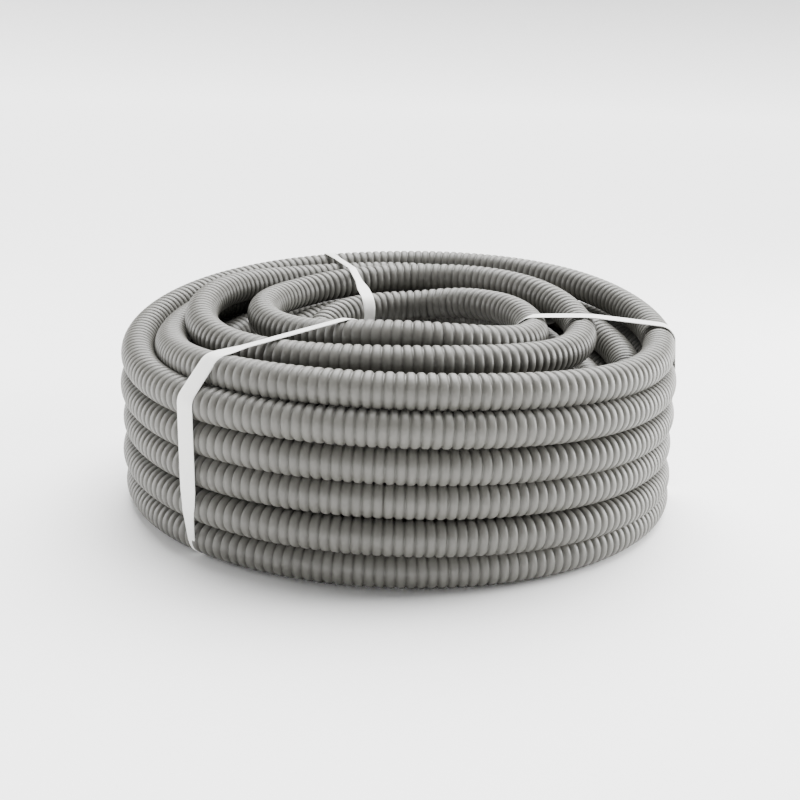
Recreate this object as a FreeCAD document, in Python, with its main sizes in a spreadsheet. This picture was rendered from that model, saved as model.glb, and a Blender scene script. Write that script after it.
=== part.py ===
"""Coiled caravan waste hose tied with three flat straps.

One long corrugated hose lies wound in five layers, six rows high, and three flat
plastic straps tie the coil. The coil is one closed solid with the hose's rows on
its outside. The free end of the hose is a short open tube on the floor. Each strap
is a closed band round the bundle.

Frame: +Z up, the floor at Z = 0, the origin on the floor under the coil's centre.
Azimuths turn about Z from the front (-Y) towards the right (+X), in degrees.
"""
import FreeCAD, Part
import math
import os

import Sketcher
from FreeCAD import Placement, Rotation, Vector

SIZES = {
    # Hose
    "hose_od": 31.0,            # over the ribs
    "hose_bore": 25.0,          # the 1 inch bore that a waste outlet takes
    # Coil
    "outer_turn_radius": 254.0, # coil axis to the hose's centreline, outside layer
    "row_count": 6,             # rows in the outside layer
    "row_nesting": 0.2,         # a row's ribs sit this far into the row below
    "layer_gap": 0.0,           # free space from one layer to the next
    "ring_b_layer": 2,          # layers inside the outside one, of the middle high ring
    "ring_c_layer": 4,          # and of the innermost high ring
    "ring_b_lift": 0.0,         # height of ring b over the outside layer's top row
    "ring_c_lift": 7.5,         # and of ring c, which lies loose on top
    "low_rows": 5,              # rows in the layers between the high rings
    "valley_reach": 6.0,        # valley between two rows, outside their centreline
    # Free end of the hose
    "end_length": 110.0,
    "end_azimuth": 215.0,
    "end_clearance": 0.3,
    # Straps
    "strap_width": 18.0,
    "strap_thickness": 0.8,
    "strap_clearance": 0.3,
    "strap_floor_gap": 0.2,     # from the floor to the strap's underside
    "strap_left_azimuth": -38.0,
    "strap_right_azimuth": 76.0,
    "strap_back_azimuth": 204.0,
}
# What follows from the sizes above
DERIVED = {
    "hose_reach": "hose_od / 2",
    "row_pitch": "hose_od - row_nesting",
    "layer_pitch": "hose_od + layer_gap",
    "valley_half": "sqrt(hose_reach ^ 2 - valley_reach ^ 2)",
    "valley_radius": "outer_turn_radius + valley_reach",
    "top_row_height": "hose_reach + (row_count - 1) * row_pitch",
    "low_top_height": "hose_od + (low_rows - 1) * row_pitch",
    "ring_b_radius": "outer_turn_radius - ring_b_layer * layer_pitch",
    "ring_c_radius": "outer_turn_radius - ring_c_layer * layer_pitch",
    "ring_b_height": "top_row_height + ring_b_lift",
    "ring_c_height": "top_row_height + ring_c_lift",
    # A flat band on the eye's hollow wall touches at its edges, this far off the wall.
    "strap_edge_rise": "strap_width ^ 2 / (8 * (ring_c_radius - hose_reach))",
    "strap_seat_radius": "hose_reach + strap_clearance + strap_edge_rise",
    "strap_seat_height": "strap_floor_gap + strap_thickness",
    "channel_depth": "strap_seat_height + 2 * strap_clearance",
    "strap_corner_radius": "hose_reach - 2 * channel_depth",
}

doc = FreeCAD.newDocument("HoseCoil")
sheet = doc.addObject("Spreadsheet::Sheet", "dims")
row = 0
for alias, number in SIZES.items():
    row += 1
    sheet.set("A%d" % row, alias)
    sheet.set("B%d" % row, str(number))
    sheet.setAlias("B%d" % row, alias)
for alias, formula in DERIVED.items():
    row += 1
    sheet.set("A%d" % row, alias)
    sheet.set("B%d" % row, "=" + formula)
    sheet.setAlias("B%d" % row, alias)
doc.recompute()


def size(alias):
    """The number that the sheet holds under an alias."""
    return float(getattr(sheet, alias))


def origin_plane(body, role):
    """The body's own origin plane that has this role."""
    for feature in body.Origin.OriginFeatures:
        if feature.Role == role:
            return feature


def new_sketch(body, role, name):
    """An empty sketch on one of the body's own origin planes."""
    sketch = body.newObject("Sketcher::SketchObject", name)
    sketch.AttachmentSupport = [(origin_plane(body, role), "")]
    sketch.MapMode = "FlatFace"
    return sketch


def dimension(sketch, kind, where, expression):
    """Adds a dimension to a sketch and binds it to the sheet."""
    value = float(sketch.evalExpression(expression))
    index = sketch.addConstraint(Sketcher.Constraint(kind, *where, value))
    sketch.setExpression("Constraints[%d]" % index, expression)


def add_line(sketch, start, end):
    """A line between two (x, y) points; returns its number in the sketch."""
    line = Part.LineSegment(Vector(start[0], start[1], 0), Vector(end[0], end[1], 0))
    return sketch.addGeometry(line, False)


def add_arc(sketch, centre, radius, first, last):
    """An anticlockwise arc between two angles in degrees; returns its number."""
    circle = Part.Circle(Vector(centre[0], centre[1], 0), Vector(0, 0, 1), radius)
    arc = Part.ArcOfCircle(circle, math.radians(first), math.radians(last))
    return sketch.addGeometry(arc, False)


def join(sketch, one, two):
    """The end of one edge meets the start of the next."""
    sketch.addConstraint(Sketcher.Constraint("Coincident", one, 2, two, 1))


def join_smooth(sketch, one, two):
    """As join, and the two edges run on in one direction."""
    sketch.addConstraint(Sketcher.Constraint("Tangent", one, 2, two, 1))


def solved(sketch):
    """Stops the build when a sketch's dimensions don't agree."""
    if sketch.solve() != 0:
        raise RuntimeError("sketch %s doesn't solve" % sketch.Name)


# ---------------------------------------------------------------- coil of hose
# Section of the coil, turned once round Z: rows on the outside, two high rings on
# top with the lower layers between them, and the straight wall of the eye, which
# turns under the innermost bottom row.
coil_body = doc.addObject("PartDesign::Body", "coil_turned")
section = new_sketch(coil_body, "XZ_Plane", "coil_section")

reach = size("hose_reach")
outer = size("outer_turn_radius")
pitch = size("row_pitch")
valley = size("valley_radius")
half = size("valley_half")
low_top = size("low_top_height")
rows = int(size("row_count"))
eye = size("ring_c_radius") - reach
inner = size("ring_c_radius")
spread = math.degrees(math.acos(size("valley_reach") / reach))

floor_line = add_line(section, (inner, 0), (outer, 0))
row_arcs = []
valley_lines = []
for number in range(rows):
    height = reach + number * pitch
    first = -90 if number == 0 else -spread
    last = 180 if number == rows - 1 else spread
    row_arcs.append(add_arc(section, (outer, height), reach, first, last))
    if number < rows - 1:
        below = (valley, height + half)
        above = (valley, height + pitch - half)
        valley_lines.append(add_line(section, below, above))

join_smooth(section, floor_line, row_arcs[0])
section.addConstraint(Sketcher.Constraint("Horizontal", floor_line))
section.addConstraint(Sketcher.Constraint("PointOnObject", floor_line, 1, -1))
for number in range(rows - 1):
    join(section, row_arcs[number], valley_lines[number])
    join(section, valley_lines[number], row_arcs[number + 1])
    section.addConstraint(Sketcher.Constraint("Vertical", valley_lines[number]))
    section.addConstraint(Sketcher.Constraint("Equal", row_arcs[number], row_arcs[number + 1]))
dimension(section, "Radius", (row_arcs[0],), "dims.hose_reach")
for number in range(rows):
    arc = row_arcs[number]
    dimension(section, "DistanceX", (-1, 1, arc, 3), "dims.outer_turn_radius")
    if number > 0:
        expression = "dims.hose_reach + %d * dims.row_pitch" % number
        dimension(section, "DistanceY", (-1, 1, arc, 3), expression)
for line in valley_lines:
    dimension(section, "DistanceX", (-1, 1, line, 1), "dims.valley_radius")

# From the top row in over the two high rings, with a sunken layer before each.
last_edge = row_arcs[-1]
edge_x = outer - reach
edge_y = size("top_row_height")
for ring in ("ring_b", "ring_c"):
    ring_x = size(ring + "_radius")
    ring_y = size(ring + "_height")
    down = add_line(section, (edge_x, edge_y), (edge_x, low_top))
    across = add_line(section, (edge_x, low_top), (ring_x + reach, low_top))
    rise = add_line(section, (ring_x + reach, low_top), (ring_x + reach, ring_y))
    arc = add_arc(section, (ring_x, ring_y), reach, 0, 180)
    join_smooth(section, last_edge, down)
    join(section, down, across)
    join(section, across, rise)
    join_smooth(section, rise, arc)
    section.addConstraint(Sketcher.Constraint("Vertical", down))
    section.addConstraint(Sketcher.Constraint("Horizontal", across))
    section.addConstraint(Sketcher.Constraint("Vertical", rise))
    dimension(section, "DistanceY", (-1, 1, across, 1), "dims.low_top_height")
    dimension(section, "Radius", (arc,), "dims.hose_reach")
    dimension(section, "DistanceX", (-1, 1, arc, 3), "dims.%s_radius" % ring)
    dimension(section, "DistanceY", (-1, 1, arc, 3), "dims.%s_height" % ring)
    last_edge = arc
    edge_x = ring_x - reach
    edge_y = ring_y
eye_line = add_line(section, (eye, size("ring_c_height")), (eye, reach))
heel_arc = add_arc(section, (inner, reach), reach, 180, 270)
join_smooth(section, last_edge, eye_line)
join_smooth(section, eye_line, heel_arc)
join_smooth(section, heel_arc, floor_line)
section.addConstraint(Sketcher.Constraint("Vertical", eye_line))
dimension(section, "Radius", (heel_arc,), "dims.hose_reach")
solved(section)

turned = coil_body.newObject("PartDesign::Revolution", "coil_turn")
turned.Profile = section
turned.ReferenceAxis = (section, ["V_Axis"])
turned.Angle = 360
section.Visibility = False
doc.recompute()


# --------------------------------------------------------- free end of the hose
# A straight open tube on the floor. It leaves the bottom row along its tangent.
def place_on_tangent(body):
    """Puts a bar that runs along +X on the bottom row's tangent at the hose's end."""
    body.Placement = Placement(Vector(0, 0, 0), Rotation(Vector(0, 0, 1), 10))
    body.setExpression("Placement.Rotation.Angle", "dims.end_azimuth")
    body.setExpression("Placement.Base.x", "dims.outer_turn_radius * sin(dims.end_azimuth)")
    body.setExpression("Placement.Base.y", "-dims.outer_turn_radius * cos(dims.end_azimuth)")
    body.setExpression("Placement.Base.z", "dims.hose_reach")


def bar_on_floor(name, radii, length):
    """A round bar, or a tube when a second radius is given, along the tangent."""
    body = doc.addObject("PartDesign::Body", name)
    sketch = new_sketch(body, "YZ_Plane", name + "_section")
    for radius in radii:
        value = float(sketch.evalExpression(radius))
        circle = Part.Circle(Vector(0, 0, 0), Vector(0, 0, 1), value)
        ring = sketch.addGeometry(circle, False)
        sketch.addConstraint(Sketcher.Constraint("Coincident", ring, 3, -1, 1))
        dimension(sketch, "Radius", (ring,), radius)
    solved(sketch)
    pad = body.newObject("PartDesign::Pad", name + "_pad")
    pad.Profile = sketch
    pad.setExpression("Length", length)
    place_on_tangent(body)
    return body


end_tube = bar_on_floor("hose_outer_end", ["dims.hose_reach", "dims.hose_bore / 2"], "dims.end_length")
end_seat = bar_on_floor("end_seat", ["dims.hose_reach + dims.end_clearance"], "2 * dims.end_length")


# -------------------------------------------------------------------- the straps
# Each strap is one flat band bent round the bundle in a plane through the coil's
# axis: down the outside, under the coil in a shallow channel, up through the eye
# and back over the top ring of the inside and the top row of the outside.
def band_loop(sketch, grow):
    """One closed outline of the band; grow is how far it lies outside the inner one.

    The four corners are arcs round the top row, round ring c and at the two lower
    corners, joined by straight runs that leave and meet them along their tangents.
    """
    seat = size("strap_seat_radius") + grow
    corner = size("strap_corner_radius") + grow
    top_out = (outer, size("top_row_height"))
    top_in = (size("ring_c_radius"), size("ring_c_height"))
    inset = size("strap_seat_radius") - size("strap_corner_radius")
    low_height = size("strap_seat_height") + size("strap_corner_radius")
    low_in = (top_in[0] - inset, low_height)
    low_out = (top_out[0] + inset, low_height)
    slope = math.degrees(math.atan2(top_out[0] - top_in[0], top_in[1] - top_out[1]))
    # Corner centres anticlockwise, with the radius and the angles that each spans.
    corners = [
        (low_out, corner, -90, 0),
        (top_out, seat, 0, slope),
        (top_in, seat, slope, 180),
        (low_in, corner, 180, 270),
    ]
    arcs = []
    for centre, radius, first, last in corners:
        arcs.append(add_arc(sketch, centre, radius, first, last))
    for number in range(4):
        centre, radius, first, last = corners[number]
        next_centre, next_radius, next_first, next_last = corners[(number + 1) % 4]
        angle = math.radians(last)
        start = (centre[0] + radius * math.cos(angle), centre[1] + radius * math.sin(angle))
        end = (next_centre[0] + next_radius * math.cos(angle),
               next_centre[1] + next_radius * math.sin(angle))
        line = add_line(sketch, start, end)
        join_smooth(sketch, arcs[number], line)
        join_smooth(sketch, line, arcs[(number + 1) % 4])
    return arcs


def strap(name, azimuth):
    """A flat band round the bundle at one azimuth."""
    body = doc.addObject("PartDesign::Body", name)
    sketch = new_sketch(body, "XZ_Plane", name + "_section")
    for extra in ("0", "dims.strap_thickness"):
        arcs = band_loop(sketch, float(sketch.evalExpression(extra)))
        low_out, top_out, top_in, low_in = arcs
        dimension(sketch, "Radius", (top_out,), "dims.strap_seat_radius + " + extra)
        dimension(sketch, "Radius", (top_in,), "dims.strap_seat_radius + " + extra)
        dimension(sketch, "Radius", (low_out,), "dims.strap_corner_radius + " + extra)
        dimension(sketch, "Radius", (low_in,), "dims.strap_corner_radius + " + extra)
        dimension(sketch, "DistanceX", (-1, 1, top_out, 3), "dims.outer_turn_radius")
        dimension(sketch, "DistanceY", (-1, 1, top_out, 3), "dims.top_row_height")
        dimension(sketch, "DistanceX", (-1, 1, top_in, 3), "dims.ring_c_radius")
        dimension(sketch, "DistanceY", (-1, 1, top_in, 3), "dims.ring_c_height")
        low = "dims.strap_seat_height + dims.strap_corner_radius"
        dimension(sketch, "DistanceY", (-1, 1, low_out, 3), low)
    solved(sketch)
    pad = body.newObject("PartDesign::Pad", name + "_pad")
    pad.Profile = sketch
    pad.SideType = "Symmetric"
    pad.setExpression("Length", "dims.strap_width")
    body.Placement = Placement(Vector(0, 0, 0), Rotation(Vector(0, 0, 1), 10))
    body.setExpression("Placement.Rotation.Angle", "dims.%s - 90" % azimuth)
    return body


def channel(name, azimuth):
    """The block that sinks a strap's lower run into the coil's underside."""
    block = doc.addObject("Part::Box", name)
    block.setExpression("Length", "dims.outer_turn_radius + dims.hose_od")
    block.setExpression("Width", "dims.strap_width + 2 * dims.strap_clearance")
    block.setExpression("Height", "2 * dims.channel_depth")
    block.Placement = Placement(Vector(0, 0, 0), Rotation(Vector(0, 0, 1), 10))
    block.setExpression("Placement.Rotation.Angle", "dims.%s - 90" % azimuth)
    block.setExpression("Placement.Base.x", "-%s.Width / 2 * cos(dims.%s)" % (name, azimuth))
    block.setExpression("Placement.Base.y", "-%s.Width / 2 * sin(dims.%s)" % (name, azimuth))
    block.setExpression("Placement.Base.z", "-dims.channel_depth")
    return block


straps = []
cutters = [end_seat]
for side in ("left", "right", "back"):
    azimuth = "strap_%s_azimuth" % side
    straps.append(strap("strap_" + side, azimuth))
    cutters.append(channel("channel_" + side, azimuth))
doc.recompute()

tools = doc.addObject("Part::MultiFuse", "coil_cutters")
tools.Shapes = cutters
coil = doc.addObject("Part::Cut", "hose_coil")
coil.Base = coil_body
coil.Tool = tools
doc.recompute()

# ------------------------------------------------------------- checks and files
PARTS = [coil, end_tube] + straps
for item in doc.Objects:
    if "Invalid" in item.State or "Error" in item.State:
        raise RuntimeError("%s failed: %s" % (item.Label, item.State))
for item in PARTS:
    shape = item.Shape
    if shape.isNull() or not shape.isValid() or len(shape.Solids) != 1:
        raise RuntimeError("%s isn't one valid solid" % item.Label)
if coil.Shape.Volume >= coil_body.Shape.Volume:
    raise RuntimeError("the channels and the seat cut nothing")
os.makedirs("parts", exist_ok=True)
for item in PARTS:
    item.Shape.exportStep("parts/%s.step" % item.Label)
    box = item.Shape.BoundBox
    print("%-16s x %.1f..%.1f y %.1f..%.1f z %.2f..%.1f volume %.0f mm3" % (
        item.Label, box.XMin, box.XMax, box.YMin, box.YMax, box.ZMin, box.ZMax,
        item.Shape.Volume))
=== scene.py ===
"""Coiled caravan waste hose tied with three flat straps, on a pale studio floor."""
import math

import bpy
import numpy as np
from mathutils import Matrix, Vector


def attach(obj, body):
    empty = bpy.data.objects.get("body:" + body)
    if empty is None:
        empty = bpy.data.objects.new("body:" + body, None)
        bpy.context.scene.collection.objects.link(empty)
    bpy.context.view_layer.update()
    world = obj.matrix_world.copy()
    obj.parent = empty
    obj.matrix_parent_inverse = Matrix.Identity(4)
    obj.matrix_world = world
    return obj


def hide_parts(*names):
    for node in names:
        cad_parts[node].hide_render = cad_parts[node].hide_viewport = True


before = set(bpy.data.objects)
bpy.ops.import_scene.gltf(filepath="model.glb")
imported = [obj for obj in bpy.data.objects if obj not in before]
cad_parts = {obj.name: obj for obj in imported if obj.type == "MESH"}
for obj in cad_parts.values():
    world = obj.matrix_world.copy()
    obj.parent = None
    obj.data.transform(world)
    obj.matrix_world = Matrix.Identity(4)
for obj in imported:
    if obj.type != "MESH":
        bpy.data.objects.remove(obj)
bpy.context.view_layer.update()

# ------------------------------------------------------------------ camera
# A long lens a little over a metre away, looking down on the coil by about
# fifteen degrees from the front, and rolled by under two degrees.
look_down = math.radians(15.42)
camera_roll = math.radians(1.71)
camera_distance = 1.238
look_at = np.array([0.0, 0.0, 0.095])
look_along = np.array([0.0, math.cos(look_down), -math.sin(look_down)])

camera = bpy.data.objects.new("camera", bpy.data.cameras.new("camera"))
camera.data.sensor_width = 36.0
camera.data.lens = 56.52
camera.data.shift_y = -0.0085
camera.location = look_at - camera_distance * look_along
camera.rotation_mode = "QUATERNION"
camera.rotation_quaternion = (
    Matrix.Rotation(math.pi / 2 - look_down, 3, "X") @ Matrix.Rotation(camera_roll, 3, "Z")
).to_quaternion()
bpy.context.scene.collection.objects.link(camera)
bpy.context.scene.camera = camera

# ------------------------------------------------------------------ route of the hose
# One length of 25 mm bore waste hose, 31 mm over its ribs, wound by hand. It starts
# among the top rings, runs inwards over them, goes down inside the eye and fills
# the layers from the inside out, and it ends on the floor behind the coil.
hose_radius = 0.0155
floor_row = 15.5          # mm from the floor to the centreline of the lowest row
row_climb = 31.0          # mm from one row to the next in the hidden layers
outer_turn_radius = 254.0  # mm, the outside layer
end_azimuth = 215.0       # degrees from the front, where the free end leaves the coil
end_length = 0.110

# Turns from the front, radius and height in mm, with the heights that they would have
# at the front. A least-squares fit gave the top rings, four of the outer rows and the
# sums in hose_place; the rest were set one by one.
top_rings = [
    (0.32, 192.0, 139.8), (0.50, 194.8, 150.0), (0.56, 198.1, 149.9),
    (0.75, 194.8, 167.5), (1.00, 184.7, 172.0), (1.25, 173.4, 168.3),
    (1.50, 154.1, 154.0), (1.62, 145.3, 152.2), (1.75, 137.0, 164.4),
    (1.88, 125.5, 176.3), (2.00, 133.3, 182.2), (2.12, 141.9, 177.8),
    (2.25, 120.8, 170.9), (2.38, 101.9, 151.1), (2.50, 93.4, 138.8),
    (2.75, 82.5, 141.1),
]
# Hidden layers: first turn, last turn, radius and height at the first turn, and
# whether the rows go down or up.
hidden_layers = [
    (3.00, 7.20, 128.0, 147.0, -1),
    (7.60, 11.35, 159.5, 15.5, 1),
    (11.85, 15.25, 191.0, 122.0, -1),
    (15.42, 18.50, 222.0, 15.5, 1),
]
outer_rows = [
    (19.00, 222.0, 118.0), (19.25, 222.0, 133.0), (19.50, 223.0, 134.0), (19.75, 218.0, 148.2),
    (19.92, 242.0, 166.0), (20.00, 247.7, 165.4), (20.12, 249.0, 162.8),
    (20.25, 249.8, 161.5), (20.50, 252.3, 153.0), (20.75, 252.4, 144.9),
    (21.00, 257.4, 138.1), (21.25, 252.6, 131.5), (21.50, 254.5, 125.5),
    (22.00, 253.8, 106.6), (23.00, 252.3, 77.5),
    (24.00, 253.5, 45.9), (25.00, 249.6, 15.5), (25.60, 252.0, 15.5),
]
stations = list(top_rings)
for first, last, radius, height, way in hidden_layers:
    for turn in np.arange(first, last + 0.01, 0.5):
        stations.append((turn, radius, max(floor_row, height + way * row_climb * (turn - first))))
stations += outer_rows
station_turns, station_radii, station_heights = np.array(stations).T


def smooth_through(knots, values, at):
    """Cubic between neighbouring knots that never runs past a highest or lowest one.

    A knot's slope is the harmonic mean of the chords beside it, or none where the
    chords differ in sign.
    """
    chords = np.diff(values) / np.diff(knots)
    before, after = chords[:-1], chords[1:]
    total = np.where(before * after > 0, before + after, 1.0)
    middle = np.where(before * after > 0, 2 * before * after / total, 0.0)
    slopes = np.concatenate([chords[:1], middle, chords[-1:]])
    k = np.clip(np.searchsorted(knots, at, side="right") - 1, 0, len(knots) - 2)
    width = knots[k + 1] - knots[k]
    u = (at - knots[k]) / width
    rise = values[k] * (1 + 2 * u) * (1 - u) ** 2 + values[k + 1] * u ** 2 * (3 - 2 * u)
    bend = slopes[k] * u * (1 - u) ** 2 - slopes[k + 1] * u ** 2 * (1 - u)
    return rise + width * bend


def hose_place(turn):
    """Place of the hose's centreline, in metres, after so many turns from the front.

    Radius and height come from the stations. The pile stands about a fifth higher at
    the back, where its rows lie loose: height over the floor row times one plus a
    short sum of cosines. Above the floor row it is also a little oval.
    """
    angle = 2 * math.pi * turn
    radius = smooth_through(station_turns, station_radii, turn)
    height = np.maximum(smooth_through(station_turns, station_heights, turn), floor_row)
    oval = (5.1 * np.cos(2 * angle) - 2.6 * np.sin(2 * angle)
            - 2.7 * np.cos(3 * angle) + 0.3 * np.sin(3 * angle))
    oval = oval * np.clip((height - floor_row) / row_climb, 0, 1)
    loose = (-0.115 * (np.cos(angle) - 1) - 0.016 * np.sin(angle)
             + 0.032 * (np.cos(2 * angle) - 1)
             + 0.017 * (np.cos(3 * angle) - 1) + 0.009 * np.sin(3 * angle))
    radius = radius * (1 + oval / outer_turn_radius)
    height = floor_row + (height - floor_row) * (1 + loose)
    return np.stack([radius * np.sin(angle), -radius * np.cos(angle), height], -1) / 1000


points_per_turn = 24
# A smooth spline runs inside its control points, so they stand out by this much.
stand_out = 2 / (1 + math.cos(2 * math.pi / points_per_turn) * 0.5 + 0.5)
last_turn = end_azimuth / 360.0 + 25.0
coil_turns = np.arange(last_turn, station_turns[0], -1.0 / points_per_turn)
coil_points = hose_place(coil_turns)
coil_points[:, :2] *= stand_out
end_turn = math.radians(end_azimuth)
end_reach = outer_turn_radius / 1000
end_start = np.array([end_reach * math.sin(end_turn), -end_reach * math.cos(end_turn),
                      hose_radius])
end_tip = end_start + end_length * np.array([math.cos(end_turn), math.sin(end_turn), 0.0])
route_points = np.vstack([end_tip, end_start, coil_points[1:]])

route = bpy.data.curves.new("hose_route", "CURVE")
route.dimensions = "3D"
spline = route.splines.new("NURBS")
spline.points.add(len(route_points) - 1)
spline.points.foreach_set("co", np.column_stack([route_points, np.ones(len(route_points))]).ravel())
spline.order_u = 3
spline.use_endpoint_u = True
spline.resolution_u = 16
route_object = bpy.data.objects.new("hose_route", route)
bpy.context.scene.collection.objects.link(route_object)
bpy.context.view_layer.update()
route_mesh = bpy.data.meshes.new_from_object(route_object)
centreline = np.empty(len(route_mesh.vertices) * 3)
route_mesh.vertices.foreach_get("co", centreline)
centreline = centreline.reshape(-1, 3)
bpy.data.objects.remove(route_object)
steps = np.linalg.norm(np.diff(centreline, axis=0), axis=1)
keep = np.concatenate([[True], steps > 1e-7])
centreline = centreline[keep]
along = np.concatenate([[0], np.cumsum(np.linalg.norm(np.diff(centreline, axis=0), axis=1))])
hose_length = along[-1]


def route_frame(distance):
    """Centre, sideways and upward unit vectors of the hose at these distances along it.

    The direction is the difference of two places a few millimetres apart; sideways is
    that crossed with the vertical, and upward is square to both.
    """
    def place(where):
        return np.stack([np.interp(where, along, centreline[:, axis]) for axis in range(3)], -1)

    centre = place(distance)
    near = np.clip(distance, 0.003, hose_length - 0.003)
    ahead = place(near + 0.003) - place(near - 0.003)
    ahead /= np.linalg.norm(ahead, axis=1, keepdims=True)
    side = np.cross(ahead, [0.0, 0.0, 1.0])
    side /= np.linalg.norm(side, axis=1, keepdims=True)
    return centre, side, np.cross(side, ahead)


def closed_tube(name, distances, radii, sides, groove=None):
    """A closed shell whose rings are circles round the route.

    Point j of ring i is the centre plus the radius times (cosine of j's angle
    sideways plus its sine upwards). The rings run out along the outside and come
    back along the inside, and the last joins the first, as on a bent sleeve.
    """
    centre, side, up = route_frame(distances)
    angle = np.arange(sides) * 2 * math.pi / sides
    ring = (np.cos(angle)[None, :, None] * side[:, None, :]
            + np.sin(angle)[None, :, None] * up[:, None, :])
    points = centre[:, None, :] + radii[:, None, None] * ring
    count = len(distances)
    i, j = np.meshgrid(np.arange(count), np.arange(sides), indexing="ij")
    i_next, j_next = (i + 1) % count, (j + 1) % sides
    faces = np.stack([i * sides + j, i_next * sides + j,
                      i_next * sides + j_next, i * sides + j_next], -1).reshape(-1, 4)
    mesh = bpy.data.meshes.new(name)
    mesh.vertices.add(count * sides)
    mesh.vertices.foreach_set("co", points.ravel())
    mesh.loops.add(faces.size)
    mesh.loops.foreach_set("vertex_index", faces.ravel())
    mesh.polygons.add(len(faces))
    mesh.polygons.foreach_set("loop_start", np.arange(len(faces)) * 4)
    mesh.polygons.foreach_set("use_smooth", np.ones(len(faces), bool))
    mesh.update(calc_edges=True)
    layer = mesh.uv_layers.new(name="hose_uv")
    around = np.stack([j, j, j + 1, j + 1], -1) / sides
    length = distances[np.stack([i, i_next, i_next, i], -1)]
    layer.data.foreach_set("uv", np.stack([around, length], -1).ravel())
    if groove is not None:
        depth = mesh.attributes.new("groove", "FLOAT", "POINT")
        depth.data.foreach_set("value", np.repeat(groove, sides))
    mesh.validate()
    piece = bpy.data.objects.new(name, mesh)
    bpy.context.scene.collection.objects.link(piece)
    return piece


# ------------------------------------------------------------------ hose
# Extruded grey PVC: a smooth inner wall 25 mm across, and round it a corrugated
# outer wall moulded in one with it, with a wide flat-topped rib every 8.2 mm.
rib_pitch = 0.0082
rib_depth = 0.0017
bore_radius = 0.0125
inner_wall = 0.0009


def linear(code):
    """Linear colour of an sRGB hex code: each channel over 255, then the sRGB curve undone."""
    channels = [int(code[k:k + 2], 16) / 255 for k in (1, 3, 5)]
    return [c / 12.92 if c <= 0.04045 else ((c + 0.055) / 1.055) ** 2.4 for c in channels] + [1.0]


def add_node(material, kind, settings=None, links=None):
    """Adds one node, sets its settings and sockets, and links its inputs."""
    node = material.node_tree.nodes.new(kind)
    for key, value in (settings or {}).items():
        if isinstance(key, str) and hasattr(node, key):
            setattr(node, key, value)
        else:
            node.inputs[key].default_value = value
    for key, source in (links or {}).items():
        material.node_tree.links.new(source, node.inputs[key])
    return node


def new_material(name):
    """An empty node material and its output node."""
    material = bpy.data.materials.new(name)
    material.use_nodes = True
    material.node_tree.nodes.clear()
    return material, add_node(material, "ShaderNodeOutputMaterial")


# Plasticised grey PVC, extruded: an even warm grey, satin, with slow changes of tone along the
# hose, fine flow marks round it, and painted shade that darkens the colour the deeper it lies in a
# groove.
pvc, pvc_output = new_material("grey_pvc_hose")
pvc_place = add_node(pvc, "ShaderNodeTexCoord")
pvc_shade = add_node(pvc, "ShaderNodeTexNoise", {"Scale": 22.0, "Detail": 3.0},
                     {"Vector": pvc_place.outputs["Object"]})
pvc_tint = add_node(pvc, "ShaderNodeValToRGB", None, {"Fac": pvc_shade.outputs["Fac"]})
pvc_tint.color_ramp.elements[0].position = 0.3
pvc_tint.color_ramp.elements[0].color = linear("#575651")
pvc_tint.color_ramp.elements[1].position = 0.7
pvc_tint.color_ramp.elements[1].color = linear("#605f5a")
# Painted shade: the colour is mixed towards #4a4944 by the depth of the corrugation, so the grooves
# are painted darker where shade falls in them.
pvc_groove = add_node(pvc, "ShaderNodeAttribute", {"attribute_name": "groove"})
pvc_groove_shade = add_node(pvc, "ShaderNodeMix", {"data_type": "RGBA", "blend_type": "MIX"})
pvc.node_tree.links.new(pvc_groove.outputs["Fac"], pvc_groove_shade.inputs[0])
pvc.node_tree.links.new(pvc_tint.outputs["Color"], pvc_groove_shade.inputs[6])
pvc_groove_shade.inputs[7].default_value = linear("#4a4944")
# Flow marks are finer than a millimetre, and drawn 1.5 mm apart so that they show.
pvc_marks = add_node(pvc, "ShaderNodeTexNoise", {"Scale": 650.0, "Detail": 2.0},
                     {"Vector": pvc_place.outputs["Object"]})
pvc_bump = add_node(pvc, "ShaderNodeBump", {"Strength": 0.12, "Distance": 0.0004},
                    {"Height": pvc_marks.outputs["Fac"]})
pvc_gloss = add_node(pvc, "ShaderNodeMapRange", {"To Min": 0.42, "To Max": 0.56},
                     {"Value": pvc_shade.outputs["Fac"]})
pvc_shader = add_node(pvc, "ShaderNodeBsdfPrincipled", {"IOR": 1.53},
                      {"Base Color": pvc_groove_shade.outputs[2], "Roughness": pvc_gloss.outputs[0],
                       "Normal": pvc_bump.outputs["Normal"]})
pvc.node_tree.links.new(pvc_shader.outputs["BSDF"], pvc_output.inputs["Surface"])

# Inner wall: the one long sleeve, open at both ends.
sleeve_step = 0.018
sleeve_out = np.arange(0, hose_length, sleeve_step)
sleeve_out = np.append(sleeve_out, hose_length)
sleeve_radii = np.concatenate([np.full(len(sleeve_out), bore_radius + inner_wall),
                               np.full(len(sleeve_out), bore_radius)])
hose = closed_tube("hose_inner_wall", np.concatenate([sleeve_out, sleeve_out[::-1]]),
                   sleeve_radii, 16, np.zeros(2 * len(sleeve_out)))
hose.data.materials.append(pvc)
ring_centres = route_frame(sleeve_out)[0]


def rib_profile(phase):
    """Depth of the corrugation, from 0 on a rib to 1 in a groove, at a place in the pitch.

    The nearer the place is to the groove's middle, the deeper: a bell curve of the
    distance to it, a sixth of the pitch wide, so that ribs are broad and round-topped.
    """
    from_groove = np.minimum(phase, 1 - phase)
    return np.exp(-(from_groove / 0.17) ** 2) + 0.08 * (1 - 2 * from_groove) ** 2


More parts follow.
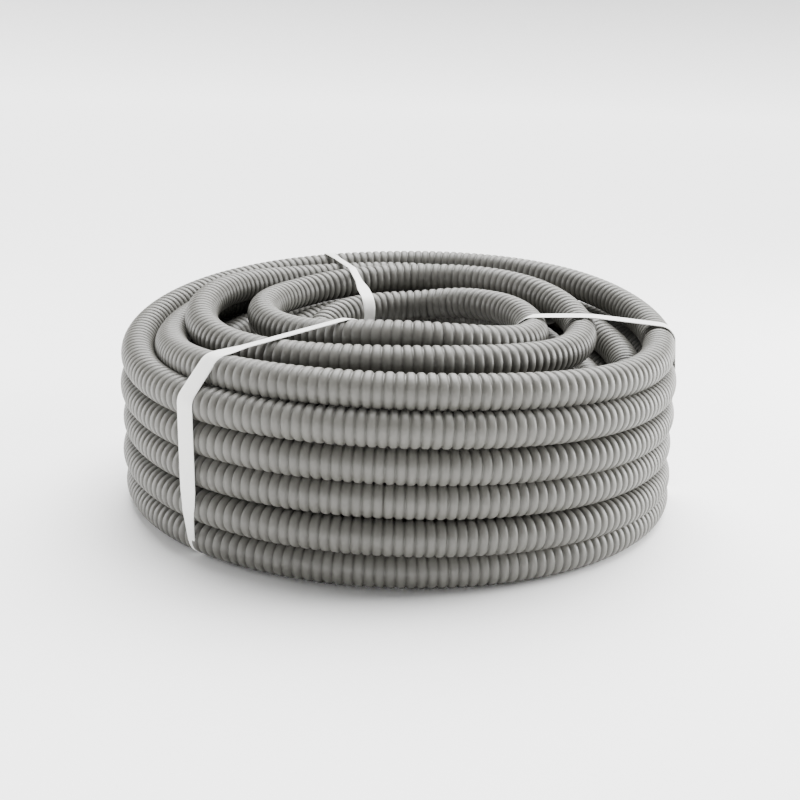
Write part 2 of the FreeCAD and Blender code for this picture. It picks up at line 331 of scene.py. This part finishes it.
def corrugated_wall(name, first_rib, last_rib, phases, sides):
    """The outer wall from one rib to another, closed on its inside."""
    phases = np.array(phases)
    ribs = np.arange(first_rib, last_rib)
    distance = (ribs[:, None] + phases[None, :]).ravel() * rib_pitch
    depth = np.tile(rib_profile(phases), len(ribs))
    distance = np.append(distance, last_rib * rib_pitch)
    depth = np.append(depth, 1.0)
    inside = np.arange(last_rib, first_rib - 1, -3.0) * rib_pitch
    inside = np.append(inside, first_rib * rib_pitch)
    inside = inside[np.concatenate([[True], np.diff(inside) < -1e-6])]
    radii = np.concatenate([hose_radius - rib_depth * depth,
                            np.full(len(inside), bore_radius + inner_wall + 0.0002)])
    piece = closed_tube(name, np.concatenate([distance, inside]), radii, sides,
                        np.concatenate([depth, np.zeros(len(inside))]))
    piece.data.materials.append(pvc)
    return piece


# The outer wall is made in lengths, each well under the size that a piece may have.
# Lengths that lie inside the coil have coarser ribs.
rib_total = int(hose_length / rib_pitch)
fine_phases = [0.0, 0.07, 0.14, 0.22, 0.36, 0.5, 0.64, 0.78, 0.86, 0.93]
coarse_phases = [0.0, 0.14, 0.3, 0.7, 0.86]
outside_in_view = 10.6    # metres of hose from the free end
top_in_view = 3.6         # metres of hose from the inner end
fine_end = int(outside_in_view / rib_pitch)
inner_start = int((hose_length - top_in_view) / rib_pitch)
lengths = []
for start, stop, cuts, phases, sides in ((0, fine_end, 5, fine_phases, 30),
                                         (fine_end, inner_start, 3, coarse_phases, 16),
                                         (inner_start, rib_total, 2, fine_phases, 30)):
    for cut in range(cuts):
        lengths.append((start + cut * (stop - start) // cuts,
                        start + (cut + 1) * (stop - start) // cuts, phases, sides))
walls = []
for number, (first, last, phases, sides) in enumerate(lengths):
    walls.append(corrugated_wall("hose_outer_wall_%d" % (number + 1), first, last, phases, sides))

for piece in [hose] + walls:
    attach(piece, "root")
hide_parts("hose_coil", "hose_outer_end")

# ------------------------------------------------------------------ straps
# Three lengths of white polypropylene strapping, 18 mm wide and 0.8 mm
# thick, each pulled tight round the bundle and welded end to end under it.
strap_width = 0.018
strap_thickness = 0.0008
strap_gap = 0.0002        # left between a strap and the hose or the floor

# Extruded polypropylene: white, waxy, faintly milky, embossed with fine ridges.
strapping, strapping_output = new_material("white_polypropylene_strapping")
strapping_place = add_node(strapping, "ShaderNodeUVMap", {"uv_map": "strap_uv"})
strapping_ridges = add_node(strapping, "ShaderNodeTexWave",
                            {"wave_type": "BANDS", "bands_direction": "X", "Scale": 4.0,
                             "Distortion": 0.6},
                            {"Vector": strapping_place.outputs["UV"]})
strapping_bump = add_node(strapping, "ShaderNodeBump", {"Strength": 0.25, "Distance": 0.0002},
                          {"Height": strapping_ridges.outputs["Fac"]})
strapping_shade = add_node(strapping, "ShaderNodeTexNoise", {"Scale": 60.0, "Detail": 2.0},
                           {"Vector": strapping_place.outputs["UV"]})
strapping_tint = add_node(strapping, "ShaderNodeValToRGB", None,
                          {"Fac": strapping_shade.outputs["Fac"]})
strapping_tint.color_ramp.elements[0].color = linear("#ecece8")
strapping_tint.color_ramp.elements[1].color = linear("#fbfbf8")
strapping_shader = add_node(strapping, "ShaderNodeBsdfPrincipled",
                            {"IOR": 1.49, "Roughness": 0.38},
                            {"Base Color": strapping_tint.outputs["Color"],
                             "Normal": strapping_bump.outputs["Normal"]})
strapping.node_tree.links.new(strapping_shader.outputs["BSDF"], strapping_output.inputs["Surface"])


def polar(radius, azimuth):
    """Plan point at a radius in metres and an azimuth in degrees from the front."""
    angle = math.radians(azimuth)
    return np.array([radius * math.sin(angle), -radius * math.cos(angle)])


def hull(points):
    """Outline of the points as a string pulled round them, anticlockwise."""
    order = points[np.lexsort((points[:, 1], points[:, 0]))]
    loop = []
    for sweep in (order, order[::-1]):
        start = len(loop)
        for p in sweep:
            while len(loop) >= start + 2:
                a, b = loop[-2], loop[-1]
                if (b[0] - a[0]) * (p[1] - a[1]) - (b[1] - a[1]) * (p[0] - a[0]) > 0:
                    break
                loop.pop()
            loop.append(p)
        loop.pop()
    return np.array(loop)


def strap_band(name, inside, outside, widths_on_top, pinch=0.0, lean=0.0, lean_from=0.1,
               bend=0.0):
    """A flat band pulled round the hose in one upright sheet.

    The sheet runs straight from the plan point outside the coil to half way in, and
    from there swings aside by the bend times the further way in to the power 1.2.
    Where the hose crosses it, each crossing gives an oval a little larger than the
    hose, drawn out by one over the sine of the crossing angle, and the band follows
    the string pulled round those ovals. Across, the band is a thin oblong that lies
    along the windings. On the outside it leans aside below a height, by the lean at
    the floor, and low down it narrows by the pinch.
    """
    near, far = polar(0.100, inside), polar(0.270, outside)
    span = np.linalg.norm(far - near)
    run = (far - near) / span
    square = np.array([-run[1], run[0]])

    def near_outside(reach):
        return np.clip(1 - (1 - reach / span) / 0.3, 0, 1)

    def aside(reach, height):
        swing = bend * np.clip(0.5 - reach / span, 0, None) ** 1.2
        return swing + lean * np.clip(1 - height / lean_from, 0, 1) * near_outside(reach)

    reach = (centreline[:, :2] - near) @ run
    offset = (centreline[:, :2] - near) @ square - aside(reach, centreline[:, 2])
    crossing = np.nonzero((offset[:-1] * offset[1:] < 0) & (reach[:-1] > -0.03))[0]
    heading = centreline[crossing + 1, :2] - centreline[crossing, :2]
    heading /= np.linalg.norm(heading, axis=1, keepdims=True)
    drawn_out = 1 / np.clip(np.abs(heading @ square), 0.6, 1)
    circle = np.linspace(0, 2 * math.pi, 96, endpoint=False)
    seat = hose_radius + strap_thickness / 2 + strap_gap
    ovals = [np.stack([reach[k] + seat * wide * np.cos(circle),
                       centreline[k, 2] + seat * np.sin(circle)], -1)
             for k, wide in zip(crossing, drawn_out)]
    outline = hull(np.vstack(ovals))
    outline[:, 1] = np.maximum(outline[:, 1], strap_gap + strap_thickness / 2)
    closed = np.vstack([outline, outline[:1]])
    lengths = np.concatenate([[0], np.cumsum(np.linalg.norm(np.diff(closed, axis=0), axis=1))])
    count = 320
    where = np.linspace(0, lengths[-1], count, endpoint=False)
    path = np.stack([np.interp(where, lengths, closed[:, k]) for k in range(2)], -1)
    ahead = np.roll(path, -1, axis=0) - np.roll(path, 1, axis=0)
    ahead /= np.linalg.norm(ahead, axis=1, keepdims=True)
    outward = np.stack([ahead[:, 1], -ahead[:, 0]], -1)

    across = np.array([-1.0, -0.94, -0.5, 0.0, 0.5, 0.94, 1.0,
                       1.0, 0.94, 0.5, 0.0, -0.5, -0.94, -1.0])
    through = np.array([0.3, 0.5, 0.5, 0.5, 0.5, 0.5, 0.3,
                        -0.3, -0.5, -0.5, -0.5, -0.5, -0.5, -0.3])
    way_in = np.clip(1 - path[:, 0] / span, 0, 1)
    on_top = np.clip((path[:, 1] - 0.10) / 0.03, 0, 1)
    narrowed = 1 - pinch * np.clip(1 - path[:, 1] / 0.065, 0, 1) * near_outside(path[:, 0])
    width = strap_width * narrowed * (1 - on_top)
    width += np.interp(way_in, *zip(*widths_on_top)) / 1000 * on_top
    middle = near + path[:, :1] * run + aside(path[:, 0], path[:, 1])[:, None] * square
    along_winding = np.stack([-middle[:, 1], middle[:, 0]], -1)
    along_winding /= np.linalg.norm(middle, axis=1, keepdims=True)
    lift = strap_thickness * through[None, :, None] * outward[:, None, :]
    plan = (middle[:, None, :] + lift[..., :1] * run
            + (width / 2)[:, None, None] * across[None, :, None] * along_winding[:, None, :])
    points = np.concatenate([plan, path[:, None, 1:] + lift[..., 1:]], -1)
    sides = len(across)
    i, j = np.meshgrid(np.arange(count), np.arange(sides), indexing="ij")
    i_next, j_next = (i + 1) % count, (j + 1) % sides
    faces = np.stack([i * sides + j, i * sides + j_next,
                      i_next * sides + j_next, i_next * sides + j], -1).reshape(-1, 4)
    mesh = bpy.data.meshes.new(name)
    mesh.from_pydata(points.reshape(-1, 3).tolist(), [], faces.tolist())
    layer = mesh.uv_layers.new(name="strap_uv")
    u = np.stack([across[j], across[j_next], across[j_next], across[j]], -1)
    v = where[np.stack([i, i, i_next, i_next], -1)]
    layer.data.foreach_set("uv", np.stack([u, v], -1).ravel())
    mesh.polygons.foreach_set("use_smooth", np.ones(len(faces), bool))
    mesh.update()
    piece = bpy.data.objects.new(name, mesh)
    bpy.context.scene.collection.objects.link(piece)
    piece.data.materials.append(strapping)
    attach(piece, "root")
    return piece


# Widths on top are given in mm from the outside inwards: where a band is twisted or
# gathered it is narrower.
left_strap = strap_band("front_left_strap", -11.0, -39.1,
                        [(0.0, 18.0), (0.17, 16.0), (0.26, 9.0), (1.0, 8.0)],
                        pinch=0.75, lean=-0.014, lean_from=0.05)
right_strap = strap_band("right_strap", 80.0, 84.5, [(0.0, 18.0), (1.0, 17.0)],
                         lean=0.040, lean_from=0.17, bend=-0.090)
back_strap = strap_band("back_strap", 204.5, 199.3,
                        [(0.0, 12.0), (0.3, 8.0), (0.9, 8.0), (1.0, 13.0)])
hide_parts("strap_left")
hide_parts("strap_right")
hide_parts("strap_back")

# ------------------------------------------------------------------ floor and light
# White background paper under the coil, turned up at its far rim, lit by a wide
# ceiling diffuser, a soft box on each side and a faint pale room.
paper, paper_output = new_material("white_background_paper")
paper_shader = add_node(paper, "ShaderNodeBsdfPrincipled",
                        {"Base Color": linear("#fbfbfb"), "Roughness": 0.9})
paper.node_tree.links.new(paper_shader.outputs["BSDF"], paper_output.inputs["Surface"])
# The paper is a shallow round dish: past its flat radius, its height is the lip times
# (1 - cosine) while its radius grows by the run times the sine of an angle up to 90 degrees.
flat_radius, sweep_run, sweep_lip = 8.0, 4.0, 2.1
spokes = 96
sweep_angle = np.linspace(0, np.pi / 2, 13)
ring_radius = np.concatenate([[0.001], flat_radius + sweep_run * np.sin(sweep_angle)])
ring_height = np.concatenate([[0.0], sweep_lip * (1 - np.cos(sweep_angle))])
ring_turn = np.linspace(0, 2 * np.pi, spokes, endpoint=False)
dish = np.stack([ring_radius[:, None] * np.cos(ring_turn),
                 ring_radius[:, None] * np.sin(ring_turn),
                 np.broadcast_to(ring_height[:, None], (len(ring_radius), spokes))], -1)
ring, spoke = np.meshgrid(np.arange(len(ring_radius) - 1), np.arange(spokes), indexing="ij")
spoke_next = (spoke + 1) % spokes
dish_faces = np.stack([ring * spokes + spoke, (ring + 1) * spokes + spoke,
                       (ring + 1) * spokes + spoke_next, ring * spokes + spoke_next],
                      -1).reshape(-1, 4)
floor_mesh = bpy.data.meshes.new("floor")
floor_mesh.from_pydata(dish.reshape(-1, 3).tolist(), [],
                       dish_faces.tolist() + [list(range(spokes))])
floor_mesh.polygons.foreach_set("use_smooth", np.ones(len(floor_mesh.polygons), bool))
floor = bpy.data.objects.new("floor", floor_mesh)
floor.data.materials.append(paper)
bpy.context.scene.collection.objects.link(floor)

world = bpy.data.worlds.new("pale_room")
world.use_nodes = True
world.node_tree.nodes["Background"].inputs["Color"].default_value = (1.0, 1.0, 1.0, 1.0)
world.node_tree.nodes["Background"].inputs["Strength"].default_value = 0.2
bpy.context.scene.world = world


def soft_box(name, place, target, wide, power):
    """A square area light at a place, turned to its target."""
    light = bpy.data.objects.new(name, bpy.data.lights.new(name, "AREA"))
    light.data.size = wide
    light.data.energy = power
    light.location = place
    aim = Vector(target) - Vector(place)
    light.rotation_mode = "QUATERNION"
    light.rotation_quaternion = aim.to_track_quat("-Z", "Y")
    bpy.context.scene.collection.objects.link(light)


soft_box("right_box", (1.5, 0.3, 0.5), (0.0, 0.0, 0.1), 0.8, 52.0)
soft_box("left_box", (-1.5, 0.3, 0.5), (0.0, 0.0, 0.1), 0.8, 15.0)

# The whole ceiling is one wide diffuser, so that the paper is evenly white.
ceiling = bpy.data.objects.new("ceiling_diffuser", bpy.data.lights.new("ceiling_diffuser", "SUN"))
ceiling.data.energy = 13.0
ceiling.data.angle = math.radians(64.0)
ceiling.rotation_euler = (math.radians(-28.0), math.radians(8.0), 0.0)
bpy.context.scene.collection.objects.link(ceiling)
